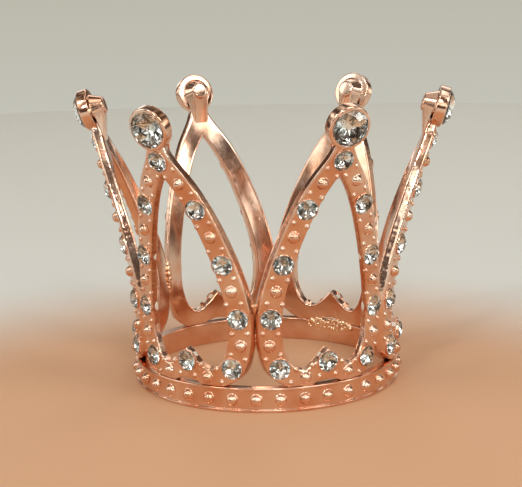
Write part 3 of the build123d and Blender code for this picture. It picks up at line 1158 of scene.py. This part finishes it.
@dataclass
class TipSetting:
    """The round cup at a petal's tip, with a tapered boss that runs down the petal's back as a keel."""

    petal: Petal
    diameter: float = 7.2
    thickness: float = 1.9
    proud: float = 0.35
    lean: float = 17.0
    edge: float = 0.3
    boss_length: float = 2.3
    boss_base: float = 5.0
    boss_end: float = 2.8
    boss_edge: float = 0.6
    keel_length: float = 6.6
    pit_radius: float = 2.95
    pit_depth: float = 2.02
    segments: int = 96
    stone: CutStone = CutStone(6.0, 3.4, 1.0, 0.2, 0.07, 1.9, 1.0)

    def frame(self, lift: float = 0.0) -> Matrix:
        """Returns the cup's frame: its Z goes out of the stone, moved out by a distance."""
        tilt = math.radians(self.lean)
        out = Vector((math.cos(tilt), 0, -math.sin(tilt)))
        across = Vector((0, 1, 0))
        axes = Matrix((across, out.cross(across), out)).transposed().to_4x4()
        tip = Vector((float(self.petal.radius(self.petal.tip_height)), 0, self.petal.tip_height))
        return Matrix.Translation(tip + out * lift) @ axes

    def cup(self) -> bpy.types.Mesh:
        """Builds the turned cup with its pit and boss."""
        slope = (self.stone.diameter - self.stone.culet) / 2 / (self.stone.pavilion + self.stone.girdle_lift)
        floor = self.pit_radius - slope * self.stone.pavilion + self.pit_depth - self.stone.pavilion
        back, rim = self.proud - self.thickness, self.diameter / 2
        corners = [
            (0, back - self.boss_length),
            (self.boss_end / 2, back - self.boss_length),
            (self.boss_base / 2, back),
            (rim, back),
            (rim, self.proud),
            (self.pit_radius, self.proud),
            (floor, self.proud - self.pit_depth),
            (0, self.proud - self.pit_depth),
        ]
        maker = MeshMaker()
        section = rounded(corners, [0, self.boss_edge, 0.3, self.edge, self.edge, 0.04, 0, 0], 7)
        maker.lathe(section, self.frame(), self.segments)
        return maker.mesh("tip_cup")

    def keel(self) -> bpy.types.Mesh:
        """Builds the keel that carries the boss's outline down, trimmed to the petal's back."""
        tip, back = self.petal.tip_height, self.proud - self.thickness
        base, end = self.boss_base / 2, self.boss_end / 2
        corners = [
            (base, self.proud),
            (base, back),
            (end, back - self.boss_length),
            (-end, back - self.boss_length),
            (-base, back),
            (-base, self.proud),
        ]
        outline = rounded(corners, [0, 0, self.boss_edge, self.boss_edge, 0, 0], 9)
        place = self.frame()
        rim = [place @ Vector((across, 0, out)) for across, out in outline]
        steps = np.linspace(0, self.keel_length, 34)
        maker = MeshMaker()
        table = maker.grid(np.array([[p - Vector((0, 0, d)) for p in rim] for d in steps]), wrap_columns=True)
        for row in (table[0], table[-1]):
            maker.form.faces.new(row)
        keel = maker.mesh("tip_keel")
        heights, across = np.linspace(tip - 9, tip + 6, 76), np.linspace(-3.2, 3.2, 27)
        v, u = np.meshgrid(heights, across, indexing="ij")
        back = self.petal.on_wall(u, v, np.full(u.shape, self.petal.thickness))
        far = back + np.array((14.0, 0, 0))
        block = MeshMaker()
        block.grid(back)
        block.grid(far)
        for edge in (np.s_[0, :], np.s_[-1, :], np.s_[:, 0], np.s_[:, -1]):
            block.grid(np.stack((back[edge], far[edge])))
        return fuse(keel, block.mesh("petal_side"), Fusing.CUT)

    def build(self) -> tuple[bpy.types.Mesh, bpy.types.Mesh]:
        """Builds the setting on +X.

        Returns:
            The finished setting, and the plain cup that the petal's neck is cut to.
        """
        cup = self.cup()
        return smooth(fuse(cup, self.keel(), Fusing.ADD)), cup


# ---------------------------------------------------------------- band and solder


@dataclass
class Band:
    """The dished ring with its rims and its row of beads, open at its seam."""

    radius: float = 23.5
    height: float = 4.2
    wall: float = 1.8
    rim_height: float = 0.45
    rim_proud: float = 0.25
    bead_count: int = 36
    bead_diameter: float = 1.95
    bead_sink: float = 0.1
    seam_turn: float = 60.0
    seam_gap: float = 0.3
    steps: int = 540

    def section(self) -> list[tuple[float, float]]:
        """Builds the ring's closed section as (radius, height) pairs."""
        r, h, dish = self.radius, self.height, self.radius - self.rim_proud
        step, bore = self.rim_height + self.rim_proud / 2, self.radius - self.wall
        corners = [
            (bore, h / 2),
            (bore, 0),
            (r, 0),
            (r, self.rim_height),
            (dish, step),
            (dish, h - step),
            (r, h - self.rim_height),
            (r, h),
            (bore, h),
            (bore, h / 2),
        ]
        return rounded(corners, [0, 0.2, 0.17, 0.1, 0.08, 0.08, 0.1, 0.17, 0.2, 0], 5)[:-1]

    def build(self) -> bpy.types.Mesh:
        """Builds the band."""
        gap = math.degrees(self.seam_gap / 2 / (self.radius - self.wall / 2))
        turns = np.radians(np.linspace(self.seam_turn + gap, self.seam_turn + 360 - gap, self.steps))
        section = np.array(self.section())
        maker = MeshMaker()
        rows = np.stack(
            (
                np.outer(np.cos(turns), section[:, 0]),
                np.outer(np.sin(turns), section[:, 0]),
                np.tile(section[:, 1], (len(turns), 1)),
            ),
            axis=-1,
        )
        table = maker.grid(rows, wrap_columns=True)
        for end in (table[0], table[-1]):
            maker.form.faces.new(end)
        beads = MeshMaker()
        profile = bead_profile(self.bead_diameter, self.bead_sink, 0.12, 9)
        for turn in range(self.bead_count):
            angle = -math.pi / 2 + turn * 2 * math.pi / self.bead_count
            if abs(math.degrees(angle) - self.seam_turn) < 1:
                continue
            out = Vector((math.cos(angle), math.sin(angle), 0))
            axes = Matrix((Vector((-out.y, out.x, 0)), Vector((0, 0, 1)), out)).transposed().to_4x4()
            spot = out * (self.radius - self.rim_proud) + Vector((0, 0, self.height / 2))
            beads.lathe(profile, Matrix.Translation(spot) @ axes, 26)
        return smooth(fuse(maker.mesh("band"), beads.mesh("band_beads"), Fusing.ADD))


@dataclass
class Solder:
    """Lumps of solder: over the band's seam, and behind each pair of neighbouring petals."""

    band: Band
    petal: Petal
    patch_turn: float = 30.0
    patch_middle: float = 3.55
    patch_half: float = 1.65
    patch_depth: float = 0.5
    joint_from: float = 11.5
    joint_to: float = 18.5
    joint_depth: float = 0.6
    grain: float = 0.11  # the size of the lumps' mesh
    seed: int = 11

    def blended(self, balls: list[tuple[Vector, float]], name: str, voxel: float) -> bpy.types.Mesh:
        """Melts overlapping balls into one lumpy skin.

        Args:
            balls: Each ball's middle and radius, in millimetres.
            name: The mesh's name.
            voxel: The size of the skin's mesh.

        Returns:
            The skin.
        """
        maker = MeshMaker()
        for middle, radius in balls:
            rises = np.linspace(-math.pi / 2, math.pi / 2, 9)
            dome = [(radius * math.cos(a), radius * math.sin(a)) for a in rises]
            dome[0], dome[-1] = (0.0, -radius), (0.0, radius)
            maker.lathe(dome, Matrix.Translation(middle), 12)
        rough = bpy.data.objects.new(name, maker.mesh(name))
        bpy.context.scene.collection.objects.link(rough)
        skin = rough.modifiers.new("skin", "REMESH")
        skin.mode, skin.voxel_size = "VOXEL", voxel * MM
        even = rough.modifiers.new("even", "SMOOTH")
        even.factor, even.iterations = 0.5, 2
        graph = bpy.context.evaluated_depsgraph_get()
        made = bpy.data.meshes.new_from_object(rough.evaluated_get(graph), depsgraph=graph)
        bpy.data.objects.remove(rough)
        made.name = name
        return smooth(made, 80)

    def seam(self) -> bpy.types.Mesh:
        """Builds the rough patch inside the band, with the plug in the seam's gap."""
        rng = np.random.default_rng(self.seed)
        bore = self.band.radius - self.band.wall
        balls = []
        for _ in range(95):
            along, up = rng.uniform(-1, 1), rng.uniform(-1, 1)
            if abs(up) > 1 - along**4:
                continue
            radius = rng.uniform(0.26, 0.55)
            reach = 1 - 0.6 * up**2
            depth = self.patch_depth * reach * rng.uniform(0.5, 1.0) - radius
            turn = math.radians(self.band.seam_turn + along * (self.patch_turn / 2 - 1.0))
            r = bore - max(depth, -0.8 * radius)
            z = self.patch_middle + up * (self.patch_half - radius)
            balls.append((Vector((r * math.cos(turn), r * math.sin(turn), z)), radius))
        turn = math.radians(self.band.seam_turn)
        for z in np.linspace(0.3, self.band.height - 0.3, 12):
            for r in np.linspace(bore + 0.2, self.band.radius - 0.42, 5):
                balls.append((Vector((r * math.cos(turn), r * math.sin(turn), z)), 0.27))
        return self.blended(balls, "seam_solder", self.grain)

    def joints(self) -> bpy.types.Mesh:
        """Builds the six runs of solder behind neighbouring petals."""
        rng = np.random.default_rng(self.seed + 1)
        balls = []
        for joint in range(6):
            middle = math.radians(30 + 60 * joint)
            for height in np.arange(self.joint_from + 0.5, self.joint_to - 0.4, 0.22):
                bulge = math.sin(math.pi * (height - self.joint_from) / (self.joint_to - self.joint_from))
                radius = rng.uniform(0.3, 0.42)
                back = float(self.petal.radius(height, self.petal.thickness))
                r = back - self.joint_depth * bulge + radius
                turn = middle + rng.uniform(-0.3, 0.3) / back
                balls.append((Vector((r * math.cos(turn), r * math.sin(turn), height)), radius))
        return self.blended(balls, "joint_solder", self.grain)


# ---------------------------------------------------------------- the whole crown


@dataclass
class Crown:
    """Puts the pieces together on the CAD's root body."""

    palette: Palette
    petals: int = 6
    small: CutStone = CutStone(3.4, 1.9, 0.62, 0.14, 0.07, 1.2, 0.5)
    petal: Petal = field(default_factory=Petal)
    band: Band = field(default_factory=Band)

    def piece(
        self, name: str, mesh: bpy.types.Mesh, finishes: list[Finish], slot: str, stands_for: list[str]
    ) -> bpy.types.Object:
        """Places a finished piece.

        Args:
            name: The piece's name.
            mesh: Its mesh, already in place.
            finishes: Its finishes, by material index.
            slot: The record's material slot; not used.
            stands_for: The CAD nodes that it replaces.

        Returns:
            The new object.
        """
        mesh.name = name
        for finish in finishes:
            mesh.materials.append(self.palette[finish])
        made = bpy.data.objects.new(name, mesh)
        bpy.context.scene.collection.objects.link(made)
        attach(made, "root")
        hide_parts(*stands_for)
        log.info("%s: %d faces", name, len(mesh.polygons))
        return made

    def turned_copy(self, mesh: bpy.types.Mesh, number: int) -> bpy.types.Mesh:
        """Returns a copy of a mesh turned to a petal's place, counted from 0."""
        copy = mesh.copy()
        copy.transform(Matrix.Rotation(2 * math.pi * number / self.petals, 4, "Z"))
        return copy

    def stones(
        self, name: str, stone: CutStone, seats: list[Matrix], rng: np.random.Generator
    ) -> bpy.types.Mesh:
        """Builds a set of stones, each turned and tipped a little differently.

        Args:
            name: The mesh's name.
            stone: The stone.
            seats: Where each one sits.
            rng: What makes them differ.

        Returns:
            The stones' mesh.
        """
        maker = MeshMaker()
        for seat in seats:
            spin = Matrix.Rotation(rng.uniform(0, 2 * math.pi), 4, "Z")
            tip = Matrix.Rotation(math.radians(rng.normal(0, 0.8)), 4, "X")
            stone.add_to(maker, seat @ tip @ spin)
        return maker.mesh(name)

    def build(self) -> None:
        """Builds every piece of the crown."""
        rng = np.random.default_rng(5)
        setting = TipSetting(self.petal)
        tip_mesh, cup = setting.build()
        petal_mesh = self.petal.build(cup)
        self.piece("beaded_band", self.band.build(), [Finish.BAND_METAL], "rose_gold", ["base_band"])
        small_seats = [self.petal.seat(x, y) for x, y in self.petal.stone_seats()]
        gems = [Finish.STONE_GLASS, Finish.STONE_FOIL]
        for number in range(self.petals):
            label = number + 1
            self.piece(
                f"beaded_petal_{label}",
                self.turned_copy(petal_mesh, number),
                [Finish.PETAL_METAL],
                "rose_gold",
                [f"petal_{label}"],
            )
            self.piece(
                f"tip_cup_{label}",
                self.turned_copy(tip_mesh, number),
                [Finish.CUP_METAL],
                "rose_gold",
                [f"tip_setting_{label}"],
            )
            big = self.stones("tip_stone", setting.stone, [setting.frame(setting.proud)], rng)
            self.piece(
                f"tip_stone_{label}", self.turned_copy(big, number), gems, "crystal", [f"large_stone_{label}"]
            )
            little = self.stones("chatons", self.small, small_seats, rng)
            self.piece(
                f"chatons_{label}",
                self.turned_copy(little, number),
                gems,
                "crystal",
                [f"small_stones_{label}"],
            )
        solder = Solder(self.band, self.petal)
        self.piece("seam_lump", solder.seam(), [Finish.SOLDER_METAL], "solder", ["band_seam_solder"])
        self.piece("joint_lumps", solder.joints(), [Finish.SOLDER_METAL], "solder", ["petal_solder"])
        for name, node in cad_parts.items():
            if "glue" in name:
                node.data.materials.clear()
                node.data.materials.append(self.palette[Finish.GLUE])
                log.info("%s: kept from the CAD", name)


# ---------------------------------------------------------------- studio


@dataclass(frozen=True)
class Softbox:
    """One soft rectangular light."""

    name: str
    azimuth: float  # degrees from the front, to the right
    elevation: float
    distance: float
    width: float
    height: float
    power: float
    colour: Colour = (1.0, 0.97, 0.93)

    def build(self, target: Vector) -> None:
        """Places the light, facing the target."""
        light = bpy.data.lights.new(self.name, "AREA")
        light.shape, light.size, light.size_y = "RECTANGLE", self.width, self.height
        light.energy, light.color = self.power, self.colour
        lamp = bpy.data.objects.new(self.name, light)
        bpy.context.scene.collection.objects.link(lamp)
        away = spherical(self.azimuth, self.elevation)
        lamp.location = target + away * self.distance
        lamp.rotation_mode = "QUATERNION"
        lamp.rotation_quaternion = away.to_track_quat("Z", "Y")
        lamp.visible_camera = False


def spherical(azimuth: float, elevation: float) -> Vector:
    """Returns the direction at an azimuth from the front and an elevation, both in degrees."""
    a, e = math.radians(azimuth), math.radians(elevation)
    return Vector((math.sin(a) * math.cos(e), -math.cos(a) * math.cos(e), math.sin(e)))


@dataclass
class Studio:
    """The floor, the backdrop, the lights and the camera."""

    palette: Palette
    backdrop_low: Colour = (0.55, 0.54, 0.475)
    backdrop_high: Colour = (0.50, 0.485, 0.405)
    room: Colour = (0.52, 0.49, 0.43)
    dark: Colour = (0.09, 0.065, 0.055)
    window: Colour = (1.9, 1.83, 1.7)
    dark_towards: tuple[float, float] = (5.0, 12.0)
    aim: tuple[float, float, float] = (-0.704, -0.061, 23.56)
    camera_azimuth: float = 4.92
    camera_elevation: float = 11.85
    camera_distance: float = 244.3
    camera_roll: float = -1.15
    lens: float = 95.07
    lights: tuple[Softbox, ...] = (
        Softbox("key", 52, 40, 0.55, 0.20, 0.20, 0.55),
        Softbox("overhead", -10, 82, 0.60, 0.50, 0.50, 0.36),
        Softbox("left_fill", -75, 28, 0.60, 0.16, 0.36, 0.3),
        Softbox("back_rim", 165, 38, 0.60, 0.45, 0.25, 0.35),
        Softbox("spark_1", 14, 34, 0.50, 0.05, 0.07, 0.24),
        Softbox("spark_2", -22, 24, 0.50, 0.05, 0.07, 0.22),
        Softbox("spark_3", 33, 10, 0.50, 0.04, 0.06, 0.14),
        Softbox("spark_4", -48, 46, 0.50, 0.06, 0.06, 0.20),
        Softbox("spark_5", -6, 58, 0.50, 0.06, 0.06, 0.20),
        Softbox("spark_6", 78, 18, 0.50, 0.05, 0.09, 0.16),
    )

    def build(self) -> None:
        """Builds all of it."""
        self.floor()
        self.surroundings()
        target = Vector(self.aim) * MM
        for light in self.lights:
            light.build(target)
        self.camera(target)

    def floor(self) -> None:
        """Builds the floor as one fine disc."""
        maker = MeshMaker()
        angles = np.arange(96) * 2 * math.pi / 96
        reaches = [20.0, 60.0, 120.0, 240.0, 450.0]
        rows = [[(r * math.cos(a), r * math.sin(a), 0.0) for a in angles] for r in reaches]
        table = maker.grid(np.array(rows), wrap_columns=True)
        maker.form.faces.new(table[0])
        plane = bpy.data.objects.new("floor", maker.mesh("floor"))
        plane.data.materials.append(self.palette[Finish.FLOOR])
        bpy.context.scene.collection.objects.link(plane)

    def surroundings(self) -> None:
        """Builds the room's light: even, but dim towards the side the crown is seen from."""
        world = bpy.data.worlds.new("room")
        bpy.context.scene.world = world
        world.use_nodes = True
        tree = world.node_tree
        shine = tree.nodes["Background"]
        place = add_node(tree, "TexCoord").outputs["Generated"]
        facing = add_node(
            tree, "VectorMath", {0: place, 1: tuple(spherical(*self.dark_towards))}, operation="DOT_PRODUCT"
        )
        share = add_node(
            tree,
            "MapRange",
            {"Value": facing.outputs["Value"], 1: 0.55, 2: 0.93},
            interpolation_type="SMOOTHSTEP",
        )
        clutter = add_node(tree, "TexNoise", {"Vector": place, "Scale": 2.6, "Detail": 1.0}).outputs[0]
        gloom = add_node(tree, "MapRange", {"Value": clutter, 1: 0.53, 2: 0.44})
        glare = add_node(tree, "MapRange", {"Value": clutter, 1: 0.60, 2: 0.63})
        unlit = add_node(tree, "Math", {0: share.outputs[0], 1: gloom.outputs[0]}, operation="MAXIMUM")
        walls = add_node(
            tree, "Mix", {0: unlit.outputs[0], 6: opaque(self.room), 7: opaque(self.dark)}, data_type="RGBA"
        )
        room = add_node(
            tree, "Mix", {0: glare.outputs[0], 6: walls.outputs[2], 7: opaque(self.window)}, data_type="RGBA"
        )
        level = add_node(tree, "SeparateXYZ", {0: place}).outputs["Z"]
        rise = add_node(tree, "MapRange", {"Value": level, 1: -0.11, 2: -0.02})
        backdrop = add_node(
            tree,
            "Mix",
            {0: rise.outputs[0], 6: opaque(self.backdrop_low), 7: opaque(self.backdrop_high)},
            data_type="RGBA",
        )
        seen = add_node(tree, "LightPath").outputs["Is Camera Ray"]
        shown = add_node(tree, "Mix", {0: seen, 6: room.outputs[2], 7: backdrop.outputs[2]}, data_type="RGBA")
        tree.links.new(shown.outputs[2], shine.inputs["Color"])

    def camera(self, target: Vector) -> None:
        """Places the camera."""
        lens = bpy.data.cameras.new("camera")
        lens.lens, lens.sensor_width, lens.sensor_fit = self.lens, 36.0, "HORIZONTAL"
        lens.clip_start, lens.clip_end = 0.01, 20.0
        camera = bpy.data.objects.new("camera", lens)
        bpy.context.scene.collection.objects.link(camera)
        away = spherical(self.camera_azimuth, self.camera_elevation)
        camera.location = target + away * self.camera_distance * MM
        camera.rotation_mode = "QUATERNION"
        level = (-away).to_track_quat("-Z", "Y")
        roll = Matrix.Rotation(math.radians(self.camera_roll), 3, "Z").to_quaternion()
        camera.rotation_quaternion = level @ roll
        bpy.context.scene.camera = camera


def main() -> None:
    """Builds the crown and its studio."""
    logging.basicConfig(level=logging.INFO, format="%(name)s: %(message)s", stream=sys.stdout)
    bpy.context.scene.view_settings.view_transform = "Standard"
    palette = Palette()
    Crown(palette).build()
    Studio(palette).build()


if __name__ == "__main__":
    main()
